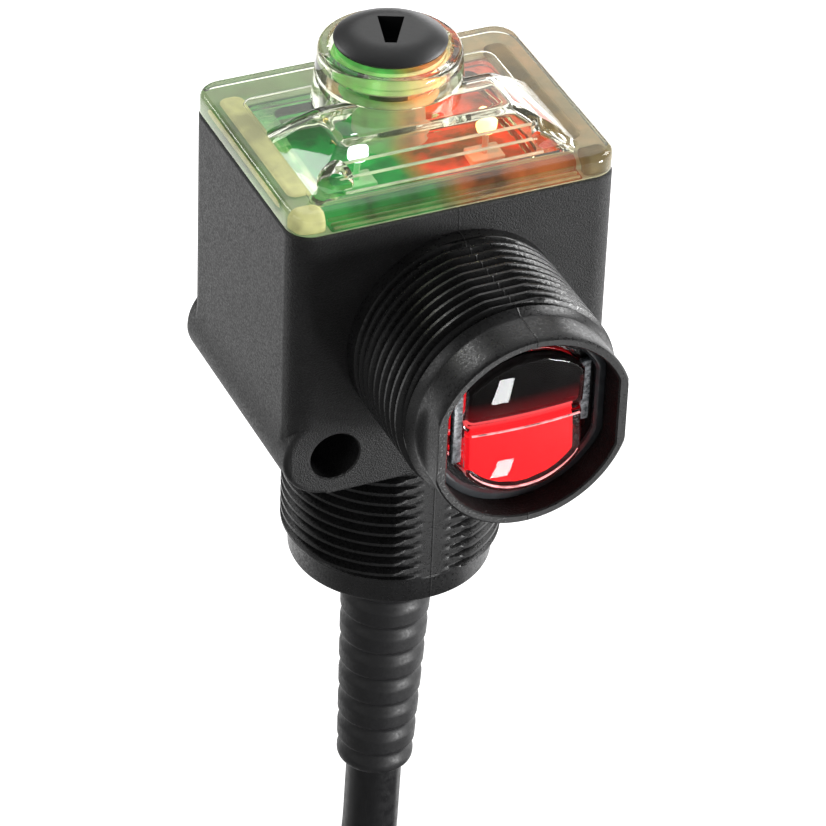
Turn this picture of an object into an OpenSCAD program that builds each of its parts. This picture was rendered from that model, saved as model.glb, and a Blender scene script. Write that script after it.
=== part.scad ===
// Photoelectric sensor: a box housing with a threaded nose that holds the lens, a threaded base
// barrel with the cable, and a clear indicator cover with an adjuster dial on top.
// +Z is up and the nose points along -Y. The origin is on the base barrel's axis, where the barrel
// meets the underside of the housing. All sizes are in millimetres.

/* [Housing] */
// Width of the housing, side to side
body_w = 27.1; // [27:0.1:28]
// Depth of the housing, front to back
body_d = 21; // [20.8:0.1:22]
// Height of the housing, from its underside to the cover seam
body_h = 24.3; // [24.2:0.1:25]
// Thickness of the housing's walls
wall = 1.8; // [1.6:0.1:2]
// Radius of the upright corners
corner_r = 2; // [1:0.1:2.4]

/* [Threads] */
// Outer diameter of the nose thread and the base thread
thread_d = 18; // [17.9:0.05:18.1]
// Distance from one crest to the next
pitch = 1; // [1:0.05:1.05]
// Depth of the thread, crest to root
thread_depth = 0.6; // [0.4:0.05:0.65]
// Diameter of the plain ends of the nose and the base
plain_d = 16.7; // [16.5:0.1:16.8]

/* [Nose] */
// Height of the nose axis above the underside
nose_z = 13.2; // [13:0.1:13.4]
// Length of the nose, from the housing's front face to its rim
nose_l = 14.5; // [14.3:0.1:15.5]
// Number of thread crests on the nose
nose_crests = 9; // [6:1:9]
// Distance across the two flats of the nose rim
flats = 15.6; // [15.2:0.1:16]
// Depth of the recess in front of the lens
recess = 2.3; // [2:0.1:2.5]

/* [Base barrel] */
// Length of the base barrel
base_l = 14.7; // [14.5:0.1:16]
// Number of thread crests on the base
base_crests = 12; // [8:1:12]

/* [Mounting holes] */
// Diameter of the two through holes
hole_d = 4.1; // [4:0.1:4.3]
// Distance between the two holes
hole_spacing = 19.4; // [19.2:0.1:19.8]
// Height of the holes above the underside
hole_z = 3.55; // [3.4:0.05:3.6]
// Radius of the rounded ear around each hole
ear_r = 4.2; // [4.1:0.05:4.3]

/* [Indicator cover] */
// Thickness of the cover's rim
rim_h = 1.9; // [1.8:0.1:2]
// Height of the raised bay above the housing
bay_h = 4.3; // [4.2:0.1:4.5]
// Height of the dial boss above the housing
boss_h = 6.7; // [6.6:0.1:7]
// Outer radius of the dial boss at its top
boss_r = 5.65; // [5.6:0.05:6]

/* [Adjuster] */
// Radius of the adjuster dial's head
dial_r = 4.45; // [4.2:0.05:4.5]
// Distance of the dial axis behind the base axis
dial_y = 3.2; // [3:0.1:3.4]
// Radius of the dial's stem
stem_r = 1.6; // [1.5:0.05:1.7]
// Direction that the dial's slot points in
slot_angle = -23.5; // [-135:0.5:135]

/* [Cable] */
// Diameter of the cable
cable_d = 4.8; // [4.6:0.1:5]
// Radius of the coil at the middle of its turns
coil_r = 26; // [25:0.1:28]
// Distance from one turn to the next
turn_step = 4.85; // [4.8:0.05:5.1]

/* [Hidden] */
$fn = 96;

eps = 0.01;
gap = 0.1;                      // clearance between pieces that don't touch
front_y = -body_d / 2;
rim_y = front_y - nose_l;
crest_r = thread_d / 2;
root_r = crest_r - thread_depth;
plain_r = plain_d / 2;

// Cavities of the housing
cavity_w = body_w - 2 * wall;
cavity_d = body_d - 2 * wall;
sump_w = 13.4;                  // the narrow lower part, between the mounting holes
sump_top = 8;
ledge = 0.8;
nose_bore_r = 6.6;
base_bore_r = 6.6;

// Window of the nose
window_r = 7.6;
window_flats = 14;
seat_r = 7.3;
seat_flats = 13.6;
lens_front_y = rim_y + recess;
seat_l = 2.2;
ledge_y = lens_front_y + seat_l;
lobe_r = 6.1;
lobe_w = 9.5;
web_half = 0.8;                 // half of the web between the two lens lobes

// Cover and dial, as heights
rim_top = body_h + rim_h;
bay_top = body_h + bay_h;
boss_top = body_h + boss_h;
skirt = 1;
shell = 1;                      // wall of the cover
dial_floor = boss_top - 1.7;
dial_rim = boss_top + 0.6;
dial_top = dial_rim + 0.7;
web_bottom = dial_floor - 1.4;
seal_section = 0.45;

// Boards
board_t = 1;
tray_z = body_h - skirt - 1.3;  // underside of the indicator board
tray_top = tray_z + board_t;
main_y = 3.4;
tongue_w = 8;                   // the main board's part inside the base barrel
led_x = 5.4;
led_y = -3;

// Optics
holder_r = nose_bore_r - gap;
holder_back_y = -7;
optics_board_y = -6;

// Strain relief and cable
relief_lean = 1.6;              // degrees, towards -X
relief_start = 3;               // length inside the barrel
relief_ribs = 7;
relief_pitch = 2.75;
relief_r = 3.9;
relief_end_r = 3.2;
relief_tail = 2;
relief_first = 4;               // from the barrel's end to the first notch
notch = 0.28;
relief_l = relief_first + (relief_ribs - 1) * relief_pitch + relief_tail;
cable_r = cable_d / 2;
collar_bottom = -base_l + relief_start + gap;
collar_l = 2.3;
wire_r = 0.7;
wire_places = [[-1.6, -1], [1.6, -1], [-1.6, 1], [1.6, 1]];
wires_y = 0.9;
ground_z = -100;                // what the coil rests on
coil_layers = 4;
coil_columns = 3;
coil_in = coil_r - turn_step - cable_r;
coil_out = coil_r + turn_step + cable_r;
coil_h = (coil_layers - 1) * turn_step + cable_d;
coil_top = ground_z + coil_h;
coil_x = 28.7;
coil_y = -20;
outer_turn = coil_r + turn_step;
tie_w = 8;
tie_t = 0.6;
tie_angle = -50;
tail_l = 27;
wire_l = 30;

function ease(t) = let (u = min(max(t, 0), 1)) u * u * (3 - 2 * u);

// The cable leaves the strain relief along its lean and comes round a quarter turn to the coil's top
route_r = 20;
route_start = [-0.6, 0, -37.2];
route_drop = 21;
cable_route = concat(
    [
        for (d = [0:3.5:route_drop - 1])
            route_start - [d * tan(relief_lean) + 0.9 * ease((d - 7) / 14), 0, d]
    ],
    [
        for (a = [0:12:84])
            [-2.1, -route_r * (1 - cos(a)), route_start[2] - route_drop - route_r * sin(a)]
    ]
);

// ---- shared shapes ----

// A block with rounded upright corners, its underside at z = 0
module rounded_block(w, d, h, r) {
    linear_extrude(h) union() {
        square([w - 2 * r, d], center = true);
        square([w, d - 2 * r], center = true);
        for (x = [-1, 1], y = [-1, 1])
            translate([x * (w / 2 - r), y * (d / 2 - r)]) circle(r);
    }
}

// Turns a shape made along +Z so that it runs along -Y from the given point
module along_nose(y, z = nose_z) {
    translate([0, y, z]) rotate([90, 0, 0]) children();
}

// A round bar with two flats, left and right
module flatted_bar(r, across, h) {
    intersection() {
        cylinder(h = h, r = r);
        translate([-across / 2, -r, 0]) cube([across, 2 * r, h]);
    }
}

// One lobe of the twin lens: side is 1 for the upper and -1 for the lower
module lobe(side, r, w, h, clear) {
    intersection() {
        flatted_bar(r, w, h);
        translate([-w, side > 0 ? clear : -clear - 2 * r, -eps]) cube([2 * w, 2 * r, h + 1]);
    }
}

function crest_outline(first, count) = [
    for (i = [0:count - 1])
        each [
            [root_r, first + (i - 0.5) * pitch],
            [crest_r, first + (i - 0.16) * pitch],
            [crest_r, first + (i + 0.16) * pitch]
        ]
];

// A threaded bar with its crests as rings, then a bare root, a bevelled shoulder and a plain end
module threaded_end(first, count, bare, shoulder, length) {
    thread_end = first + (count - 0.5) * pitch;
    rotate_extrude() polygon(concat(
        [[0, -eps], [crest_r, -eps], [crest_r, first - 0.8 * pitch]],
        crest_outline(first, count),
        [
            [root_r, thread_end],
            [root_r, thread_end + bare],
            [plain_r + shoulder, thread_end + bare],
            [plain_r, thread_end + bare + shoulder],
            [plain_r, length - 0.25],
            [plain_r - 0.2, length],
            [0, length]
        ]
    ));
}

// ---- housing ----

module ear_outline() {
    union() {
        translate([-body_w / 2, hole_z]) square([body_w, sump_top - hole_z + eps]);
        translate([-hole_spacing / 2, 0]) square([hole_spacing, sump_top]);
        for (side = [-1, 1]) intersection() {
            translate([side * hole_spacing / 2, hole_z]) circle(ear_r);
            translate([-body_w, 0]) square([2 * body_w, sump_top]);
        }
    }
}

module housing_outside() {
    translate([0, 0, sump_top]) rounded_block(body_w, body_d, body_h - sump_top, corner_r);
    intersection() {
        translate([0, body_d / 2, 0]) rotate([90, 0, 0]) linear_extrude(body_d) ear_outline();
        union() {
            rounded_block(body_w, body_d, sump_top + eps, corner_r);
            translate([-body_w, -body_d / 2, 0]) cube([2 * body_w, body_d, hole_z + ear_r]);
        }
    }
    along_nose(front_y) threaded_end(1.8, nose_crests, 0.45, 0.35, nose_l);
    rotate([180, 0, 0]) threaded_end(0.9, base_crests, 0.1, 0.1, base_l);
}

module housing() {
    color("#1d1e20") difference() {
        housing_outside();
        // Main cavity, open at the top, with a ledge for the indicator board
        translate([0, 0, sump_top])
            rounded_block(cavity_w - 2 * ledge, cavity_d - 2 * ledge, body_h, corner_r - wall / 2);
        translate([0, 0, tray_z]) rounded_block(cavity_w, cavity_d, body_h, corner_r - wall / 2);
        translate([-sump_w / 2, -cavity_d / 2, wall]) cube([sump_w, cavity_d, sump_top]);
        // Nose: bore, lens seat and window
        along_nose(0) cylinder(h = -ledge_y + eps, r = nose_bore_r);
        along_nose(ledge_y) flatted_bar(seat_r, seat_flats, seat_l + eps);
        along_nose(lens_front_y) flatted_bar(window_r, window_flats, recess + 1);
        for (side = [-1, 1])
            translate([side * flats / 2 + (side < 0 ? -5 : 0), rim_y - 1, nose_z - 6]) cube([5, 4, 12]);
        // Base barrel
        translate([0, 0, -base_l - 1]) cylinder(h = base_l + wall + 2, r = base_bore_r);
        // Mounting holes, front to back
        for (side = [-1, 1])
            translate([side * hole_spacing / 2, body_d / 2 + 1, hole_z]) rotate([90, 0, 0])
                cylinder(h = body_d + 2, d = hole_d);
    }
}

// ---- top: cover, light guide, dial, indicators ----

module bay_block(inset, bottom, top) {
    hull() {
        translate([-10.9 + inset, -8.4 + inset, bottom]) cube([21.8 - 2 * inset, 10.6 - 2 * inset, eps]);
        translate([-7.4 + inset / 2, -4.8 + inset / 2, top - eps])
            cube([14.8 - inset, 5.2 - inset, eps]);
    }
}

module at_dial(z) {
    translate([0, dial_y, z]) children();
}

module indicator_cover() {
    color("#d9e08a", 0.5) difference() {
        union() {
            translate([0, 0, body_h]) rounded_block(body_w, body_d, rim_h, corner_r);
            translate([0, 0, body_h - skirt])
                rounded_block(cavity_w - 2 * gap, cavity_d - 2 * gap, skirt + eps, corner_r - wall / 2);
            bay_block(0, rim_top - eps, bay_top);
            at_dial(rim_top - eps) cylinder(h = boss_h - rim_h + eps, r1 = boss_r + 0.4, r2 = boss_r);
        }
        // Hollow underside
        translate([0, 0, body_h - skirt - eps])
            rounded_block(cavity_w - 2, cavity_d - 2, skirt + rim_h - shell, corner_r - wall / 2);
        bay_block(shell, rim_top - shell - 2 * eps, bay_top - shell);
        at_dial(body_h) cylinder(h = web_bottom - body_h, r = boss_r - 1.3);
        // Pockets at the two ends of the bay's front slope
        for (side = [-1, 1])
            translate([side * 8.9, -7.2, rim_top + 0.2]) cylinder(h = bay_h, r = 1.4);
        // Recess for the dial's head, groove for its seal and bearing for its stem
        at_dial(dial_floor) cylinder(h = boss_h, r = dial_r + 0.3);
        at_dial(web_bottom + 0.2) cylinder(h = 2 * seal_section + gap, r = stem_r + 2 * seal_section + gap);
        at_dial(web_bottom - 1) cylinder(h = 4, r = stem_r + 0.05);
    }
}

// A clear frame under the cover that carries the light of the two indicators to its edges
module light_guide() {
    color("#e6ecb0", 0.6) difference() {
        translate([0, 0, tray_top]) rounded_block(cavity_w - 2.6, cavity_d - 2.6, 1.6, 1);
        translate([0, 0, tray_top - eps]) rounded_block(cavity_w - 6.2, cavity_d - 5, 2, 1);
    }
}

// The bead between the cover and the housing's inner ledge
module cover_gasket() {
    color("#3c3c3e") difference() {
        translate([0, 0, tray_top + gap])
            rounded_block(cavity_w - 2 * gap, cavity_d - 2 * gap, 0.2, corner_r - wall / 2);
        translate([0, 0, tray_top]) rounded_block(cavity_w - 2, cavity_d - 2, 1, 1);
    }
}

// Head with a slot that narrows to the front, on a stem that turns the potentiometer
module adjuster_dial() {
    stem_bottom = web_bottom - 1.3;
    color("#26282a") difference() {
        at_dial(0) rotate_extrude() polygon([
            [0, stem_bottom], [stem_r, stem_bottom], [stem_r, dial_floor + 0.2],
            [dial_r - 0.9, dial_floor + 0.2], [dial_r - 0.9, dial_rim - 0.6],
            [dial_r, dial_rim - 0.2], [dial_r, dial_rim], [dial_r - 0.6, dial_top - 0.3],
            [dial_r - 1.4, dial_top], [0, dial_top]
        ]);
        at_dial(dial_top - 2) rotate(slot_angle) linear_extrude(3)
            polygon([[-0.95, 1.95], [0.95, 1.95], [0.5, -1.95], [-0.5, -1.95]]);
    }
}

module adjuster_seal() {
    color("#151515") at_dial(web_bottom + 0.25 + seal_section) rotate_extrude()
        translate([stem_r + 0.03 + seal_section, 0]) circle(seal_section, $fn = 32);
}

module potentiometer_body() {
    color("#e8e6dc") difference() {
        at_dial(tray_top) cylinder(h = 3.2, r = 2.9);
        at_dial(tray_top + 0.8) cylinder(h = 4, r = stem_r + 0.45);
    }
}

module potentiometer_rotor() {
    color("#c9c4b4") at_dial(tray_top + 0.85)
        cylinder(h = web_bottom - 1.3 - tray_top - 0.85, r = stem_r + 0.4);
}

module indicator_board() {
    color("#2f6b45") difference() {
        translate([0, 0, tray_z]) rounded_block(cavity_w - 2 * gap, cavity_d - 2 * gap, board_t, 1);
        // Slot for the header's pins
        translate([-4.6, main_y - 0.7, tray_z - 1]) cube([9.2, 0.8, 3]);
    }
}

module led_package(x) {
    translate([x, led_y, tray_top]) {
        translate([-1.4, -1, 0]) cube([2.8, 2, 0.8]);
        translate([0, 0, 0.8]) cylinder(h = 0.5, r = 0.8);
    }
}

module power_led() {
    color("#50e070") led_package(-led_x);
}

module output_led() {
    color("#ffa040") led_package(led_x);
}

module board_resistors() {
    color("#333333") for (i = [-2:2])
        translate([i * 2.2 - 0.5, -5.6, tray_top]) cube([1, 0.6, 0.4]);
}

// Pins that carry the indicator board's connections down to the main board
module board_header() {
    color("#c8a850") for (i = [-2:2])
        translate([i * 2 - 0.25, main_y - 0.5, tray_z - 5]) cube([0.5, 0.5, 5 + board_t]);
}

// ---- main electronics ----

module main_board() {
    board_top = tray_z - 0.5;
    color("#2f6b45") union() {
        translate([-10, main_y, sump_top + 0.6]) cube([20, board_t, board_top - sump_top - 0.6]);
        translate([-tongue_w / 2, main_y, -5]) cube([tongue_w, board_t, sump_top + 5.7]);
    }
}

module controller_chip() {
    color("#202020") translate([-3, main_y + board_t, 11]) cube([6, 1.2, 6]);
}

module output_transistors() {
    color("#202020") for (x = [-8, 5.4])
        translate([x, main_y + board_t, 13]) cube([2.6, 1.1, 3]);
}

module board_capacitors() {
    color("#b09060") for (i = [0:3])
        translate([-7 + i * 4, main_y + board_t, 9.2]) cube([1.6, 1, 0.9]);
}

// ---- optics ----

// A black tube with one chamber above the other
module optics_holder() {
    color("#111213") difference() {
        along_nose(holder_back_y) cylinder(h = holder_back_y - ledge_y - 2.6, r = holder_r);
        along_nose(holder_back_y + 1) for (side = [-1, 1])
            lobe(side, 5.6, 9, nose_l + 4, 0.5);
    }
}

module lens() {
    color("#d0d4d6", 0.5) union() {
        along_nose(ledge_y) flatted_bar(seat_r - gap, seat_flats - 2 * gap, seat_l - 1);
        for (side = [-1, 1]) {
            along_nose(ledge_y - seat_l + 1 + eps) lobe(side, lobe_r, lobe_w, seat_l - 0.4, web_half);
            along_nose(ledge_y + 1.9) lobe(side, lobe_r - 0.4, lobe_w - 1, 1.9 + eps, web_half);
        }
    }
}

module lens_gasket() {
    color("#5c6266") along_nose(lens_front_y + 1) difference() {
        flatted_bar(seat_r - gap, seat_flats - 2 * gap, 0.4);
        translate([0, 0, -1]) flatted_bar(seat_r - 0.8, seat_flats - 1.6, 3);
    }
}

module receiver_filter() {
    color("#3a0a0c") along_nose(ledge_y + 2.5) lobe(1, 5.4, 8.6, 0.5, 0.7);
}

module emitter_aperture() {
    color("#101010") along_nose(-11) difference() {
        lobe(-1, 5.5, 8.8, 0.4, 0.6);
        translate([0, -3, -1]) cylinder(h = 3, r = 1);
    }
}

module emitter_led() {
    color("#ff5040") along_nose(optics_board_y - board_t + gap, nose_z - 3) union() {
        translate([-1.2, -1.2, 0]) cube([2.4, 2.4, 1.4]);
        translate([0, 0, 1.4]) cylinder(h = 0.8, r = 0.9);
    }
}

module receiver_photodiode() {
    color("#30343c") along_nose(optics_board_y - board_t + gap, nose_z + 3)
        translate([-1.6, -1.6, 0]) cube([3.2, 3.2, 1.2]);
}

module optics_board() {
    color("#2f6b45") along_nose(optics_board_y) difference() {
        cylinder(h = board_t - gap, r = holder_r);
        translate([-2, -8, -1]) cube([4, 2, 3]);
    }
}

// A folded metal can over the receiver's amplifier, open towards the board
module shield_can() {
    color("#b8bcc0") along_nose(optics_board_y + 2.6, nose_z + 2.5) difference() {
        translate([-4, -2.4, 0]) cube([8, 4.8, 2.6]);
        translate([-3.7, -2.1, 0.3]) cube([7.4, 4.2, 3]);
    }
}

// Flexible printed lead from the optics board to the main board
module flex_lead() {
    color("#c07a28") translate([-2.5, 0, 0]) rotate([90, 0, 90]) linear_extrude(5) polygon([
        [optics_board_y, nose_z - 5.5], [optics_board_y + 0.2, nose_z - 5.5],
        [optics_board_y + 1.6, nose_z - 6.8], [main_y - 1.6, nose_z - 6.8], [main_y, nose_z - 5.4],
        [main_y, nose_z - 5.7], [main_y - 1.5, nose_z - 7], [optics_board_y + 1.5, nose_z - 7],
        [optics_board_y, nose_z - 5.8]
    ]);
}

// ---- base barrel ----

module inner_wires() {
    color("#7a5a3a") for (p = wire_places)
        translate([p[0], p[1] + wires_y, collar_bottom + collar_l]) cylinder(h = 10.8, r = wire_r, $fn = 24);
}

module potting_plug() {
    color("#17181a") difference() {
        translate([0, 0, -base_l + 0.6]) cylinder(h = base_l - 1.4, r = base_bore_r);
        // Room for the board's tongue, the wires and the strain relief's root
        translate([-tongue_w / 2 - gap / 2, main_y - gap / 2, -5 - gap / 2])
            cube([tongue_w + gap, board_t + gap, 8]);
        for (p = wire_places)
            translate([p[0], p[1] + wires_y, -base_l]) cylinder(h = base_l + 1, r = wire_r + gap / 2);
        translate([0, 0, -base_l]) cylinder(h = relief_start + 2.7, r = relief_r + 0.15);
    }
}

module cable_collar() {
    color("#8a8d90") translate([0, 0, collar_bottom]) difference() {
        cylinder(h = collar_l, r = cable_r + 1);
        translate([0, 0, -1]) cylinder(h = 5, r = cable_r - 0.1);
    }
}

function relief_radius(s) = relief_r + (relief_end_r - relief_r) * s / relief_l;

relief_outline = concat(
    [[0, relief_start], [relief_r, relief_start], [relief_r, -relief_first + 0.5]],
    [
        for (i = [0:relief_ribs - 1])
            let (s = relief_first + i * relief_pitch, r = relief_radius(s))
            each [[r, -s + 0.45], [r - notch, -s + 0.15], [r - notch, -s - 0.15], [r, -s - 0.45]]
    ],
    [[relief_end_r, -relief_l + 0.6], [relief_end_r - 0.6, -relief_l], [0, -relief_l]]
);

// Points below the barrel's end are tilted with the relief's lean
module leaning() {
    translate([0, 0, -base_l]) rotate([0, relief_lean, 0]) children();
}

module strain_relief() {
    color("#202224") leaning() rotate_extrude() polygon(relief_outline);
}

// ---- cable ----

function unit(v) = v / norm(v);
function along(path, i) = unit(path[min(i + 1, len(path) - 1)] - path[max(i - 1, 0)]);

// A tube swept along a path that stays near the YZ plane
module tube(path, r, sides = 8) {
    rings = [
        for (i = [0:len(path) - 1])
            let (t = along(path, i), u = unit([1, 0, 0] - t * t[0]), v = cross(t, u))
            for (k = [0:sides - 1])
                path[i] + r * (u * cos(360 * k / sides) + v * sin(360 * k / sides))
    ];
    last = (len(path) - 1) * sides;
    polyhedron(rings, concat(
        [[for (k = [0:sides - 1]) sides - 1 - k]],
        [[for (k = [0:sides - 1]) last + k]],
        [
            for (i = [0:len(path) - 2], k = [0:sides - 1])
                let (a = i * sides + k, b = i * sides + (k + 1) % sides)
                [a, b, b + sides, a + sides]
        ]
    ));
}

module cable() {
    color("#17181a") tube(cable_route, cable_r);
}

module at_coil(z) {
    translate([coil_x, coil_y, z]) children();
}

// A block across the bundle of turns, drawn in from the bundle's outline
module tie_band(inset, longer) {
    translate([coil_in + inset, -tie_w / 2 - longer, inset])
        cube([coil_out - coil_in - 2 * inset, tie_w + 2 * longer, coil_h - 2 * inset]);
}

module cable_coil() {
    color("#17181a") at_coil(ground_z) difference() {
        rotate_extrude() translate([coil_in, 0]) square([coil_out - coil_in, coil_h]);
        // The tie draws the bundle in
        rotate(tie_angle) difference() {
            tie_band(-1, 0);
            tie_band(tie_t, 1);
        }
    }
}

module cable_tie() {
    color("#303234") at_coil(ground_z) rotate(tie_angle) difference() {
        tie_band(0, 0);
        tie_band(tie_t, 1);
    }
}

// Places a shape made along +Z so that it runs along -X, where the cable leaves its lowest outer turn
module along_tail(start, up = cable_r, side = 0) {
    at_coil(ground_z) translate([-start, outer_turn + side, up]) rotate([0, -90, 0]) children();
}

// The last of the cable, from where it is clear of the coil
module cable_tail() {
    start = sqrt(pow(coil_out, 2) - pow(outer_turn - cable_r, 2)) + gap;
    color("#17181a") along_tail(start) cylinder(h = tail_l - start, r = cable_r);
}

// One of the four conductors, which fan out from the end of the cable and come down to the ground
module conductor(i) {
    place = wire_places[i];
    high = cable_r + place[1] * 0.8;
    along_tail(tail_l, high, place[0] / 2)
        rotate([-place[0] * 4 - place[1] * 4, -asin((high - wire_r - gap) / wire_l), 0])
            cylinder(h = wire_l, r = wire_r, $fn = 24);
}

module conductor_brown() {
    color("#6a3b1c") conductor(0);
}

module conductor_white() {
    color("#e8e8e4") conductor(1);
}

module conductor_blue() {
    color("#2a56b0") conductor(2);
}

module conductor_black() {
    color("#101010") conductor(3);
}

housing();
indicator_cover();
light_guide();
cover_gasket();
adjuster_dial();
adjuster_seal();
potentiometer_body();
potentiometer_rotor();
indicator_board();
power_led();
output_led();
board_resistors();
board_header();
main_board();
controller_chip();
output_transistors();
board_capacitors();
optics_holder();
lens();
lens_gasket();
receiver_filter();
emitter_aperture();
emitter_led();
receiver_photodiode();
optics_board();
shield_can();
flex_lead();
inner_wires();
potting_plug();
cable_collar();
strain_relief();
cable();
cable_coil();
cable_tail();
cable_tie();
conductor_brown();
conductor_white();
conductor_blue();
conductor_black();
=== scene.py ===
"""A photoelectric sensor: box housing, threaded lens nose, threaded cable base, clear indicator cover.

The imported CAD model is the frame. The outer pieces are made here in millimetres, in the CAD's own
frame (+Z up, the nose along -Y, the origin where the base barrel meets the underside), and are
scaled to metres when their meshes are made. The inner pieces keep the CAD's shapes.
"""

import math

import bmesh
import bpy
from mathutils import Matrix, Vector


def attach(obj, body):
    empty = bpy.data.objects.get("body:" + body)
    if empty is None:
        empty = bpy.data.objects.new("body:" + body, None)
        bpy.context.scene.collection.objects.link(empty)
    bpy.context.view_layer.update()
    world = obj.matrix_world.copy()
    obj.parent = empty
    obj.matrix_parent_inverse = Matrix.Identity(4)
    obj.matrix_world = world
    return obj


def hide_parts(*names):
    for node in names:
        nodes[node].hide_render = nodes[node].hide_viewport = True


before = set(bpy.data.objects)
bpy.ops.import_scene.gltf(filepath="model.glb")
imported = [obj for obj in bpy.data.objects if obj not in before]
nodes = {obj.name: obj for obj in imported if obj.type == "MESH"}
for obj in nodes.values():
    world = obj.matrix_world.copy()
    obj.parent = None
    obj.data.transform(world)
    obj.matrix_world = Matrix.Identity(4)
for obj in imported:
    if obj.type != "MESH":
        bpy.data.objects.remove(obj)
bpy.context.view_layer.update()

MM = 0.001

# ---- sizes in millimetres and angles in degrees ----

BODY_W, BODY_D, BODY_H = 27.1, 21.0, 24.3
WALL = 1.8
CORNER_R = 2.0
FRONT_Y = -BODY_D / 2

# Both threads; a thread's pair says how far along its barrel it starts and ends
PITCH = 1.0
CREST_R, ROOT_R, PLAIN_R = 9.0, 8.4, 8.35
NOSE_Z, NOSE_L = 13.2, 14.5
BASE_L = 14.7
LAND = 0.12  # half the flat of a crest or a root, in pitches
NOSE_THREAD = (1.0, 10.3)
BASE_THREAD = (0.35, 12.4)

HOLE_X, HOLE_Z, HOLE_R, EAR_R = 9.7, 3.55, 2.05, 4.2

# Heights of the cover and of what is in it
RIM_TOP = BODY_H + 1.9
BAY_TOP = BODY_H + 4.3
BOSS_TOP = BODY_H + 6.7
BOSS_R = 5.65
DIAL_Y, DIAL_R = 3.2, 4.45
SLOT_ANGLE = -23.5
DIAL_FLOOR = BOSS_TOP - 1.7
DIAL_RIM = BOSS_TOP + 0.6
DIAL_TOP = DIAL_RIM + 0.7
TRAY_TOP = BODY_H - 1.3
# Half width, front and back of the raised bay, at its foot and at its top
BAY_FOOT = (10.9, -8.4, 2.2)
BAY_CREST = (7.4, -4.8, 0.4)
LED_X, LED_Y = 5.4, -3.0

# The window in the nose, and the lens with a dome above and below a web
WINDOW_R, WINDOW_FLATS, RIM_FLATS = 7.6, 7.0, 7.8
LENS_FLOOR = NOSE_L - 2.3
LENS_R, LENS_W = 6.1, 4.75
LENS_END = LENS_R - 0.02
LENS_RISE, LENS_DEPTH, LENS_EDGE = 1.35, 3.5, 0.35
LOBE_Z, LOBE_CURVE = 3.73, 36.0
LOW_LOBE_Z, LOW_LOBE_CURVE = -4.04, 22.0
WEB_LOW, WEB_HIGH, WEB_DEPTH = -0.15, 0.95, 0.45
BEAD_HALF, BEAD_RISE = 0.22, 0.16
FILTER_LOW = WEB_HIGH - 0.5

RELIEF_R, RELIEF_END_R, RELIEF_L, RELIEF_LEAN = 3.9, 3.2, 22.5, 1.6
RELIEF_FIRST, RELIEF_PITCH, RELIEF_RIBS = 4.0, 2.75, 7

CABLE_R = 2.4
COIL_R, TURN_STEP = 26.0, 4.85
CHANGE = 0.4  # half the part of a turn in which it moves to its next place
SWING = 1.9  # how far a turn swings out where it changes layer
COIL_X, COIL_Y, GROUND_Z = 28.7, -20.0, -100.0
TAIL_L = 27.0
WIRE_R, WIRE_L = 0.7, 30.0
WIRE_PLACES = [(-1.6, -1), (1.6, -1), (-1.6, 1), (1.6, 1)]  # sideways, and -1 low or 1 high
TIE_ANGLE, TIE_W, TIE_T = -50, 8.0, 0.6

# Where the cable leaves the strain relief, how far it hangs, and the bend after that
ROUTE_START, ROUTE_DROP, ROUTE_R = (-0.6, 0, -37.2), 21.0, 20.0

# Where a mix node keeps its two colours and their blend
MIX_FIRST, MIX_SECOND, MIX_RESULT = 6, 7, 2


# ---- the camera ----

def camera():
    """A long lens that looks down on the front left corner of the housing."""
    azimuth, elevation, roll = (math.radians(a) for a in (-25.07, 35.76, -2.35))
    distance, focal = 380.4, 208.6
    aim_across, aim_down = 1.284, 6.383
    back = Vector((
        math.sin(azimuth) * math.cos(elevation),
        -math.cos(azimuth) * math.cos(elevation),
        math.sin(elevation),
    ))
    right = Vector((0, 0, 1)).cross(back).normalized()
    up = back.cross(right)
    across = right * math.cos(roll) - up * math.sin(roll)
    upward = right * math.sin(roll) + up * math.cos(roll)
    target = Vector((0, 0, 6)) + across * aim_across - upward * aim_down
    data = bpy.data.cameras.new("camera")
    data.lens = focal
    data.sensor_width = 36
    data.clip_start = 0.01
    data.clip_end = 20
    obj = bpy.data.objects.new("camera", data)
    turn = Matrix((across, upward, back)).transposed().to_4x4()
    obj.matrix_world = Matrix.Translation((target + back * distance) * MM) @ turn
    bpy.context.scene.collection.objects.link(obj)
    bpy.context.scene.camera = obj


# ---- mesh tools ----

def link(name, data, material=None):
    obj = bpy.data.objects.new(name, data)
    bpy.context.scene.collection.objects.link(obj)
    if material is not None:
        data.materials.append(material)
    return obj


def mesh_object(name, verts, faces, material=None, sharp=35):
    """A mesh from points in millimetres, with edges sharper than the given angle kept crisp."""
    mesh = bpy.data.meshes.new(name)
    mesh.from_pydata([[c * MM for c in v] for v in verts], [], faces)
    clean(mesh)
    shade(mesh, sharp)
    return link(name, mesh, material)


def clean(mesh):
    bm = bmesh.new()
    bm.from_mesh(mesh)
    bmesh.ops.remove_doubles(bm, verts=bm.verts, dist=1e-7)
    bmesh.ops.dissolve_degenerate(bm, edges=bm.edges, dist=1e-8)
    bmesh.ops.recalc_face_normals(bm, faces=bm.faces)
    bm.to_mesh(mesh)
    bm.free()


def shade(mesh, sharp):
    mesh.polygons.foreach_set("use_smooth", [True] * len(mesh.polygons))
    mesh.set_sharp_from_angle(angle=math.radians(sharp))


def bake_modifiers(obj):
    """Replaces the object's mesh with what its modifiers make of it."""
    graph = bpy.context.evaluated_depsgraph_get()
    mesh = bpy.data.meshes.new_from_object(obj.evaluated_get(graph))
    obj.modifiers.clear()
    obj.data = mesh


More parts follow.
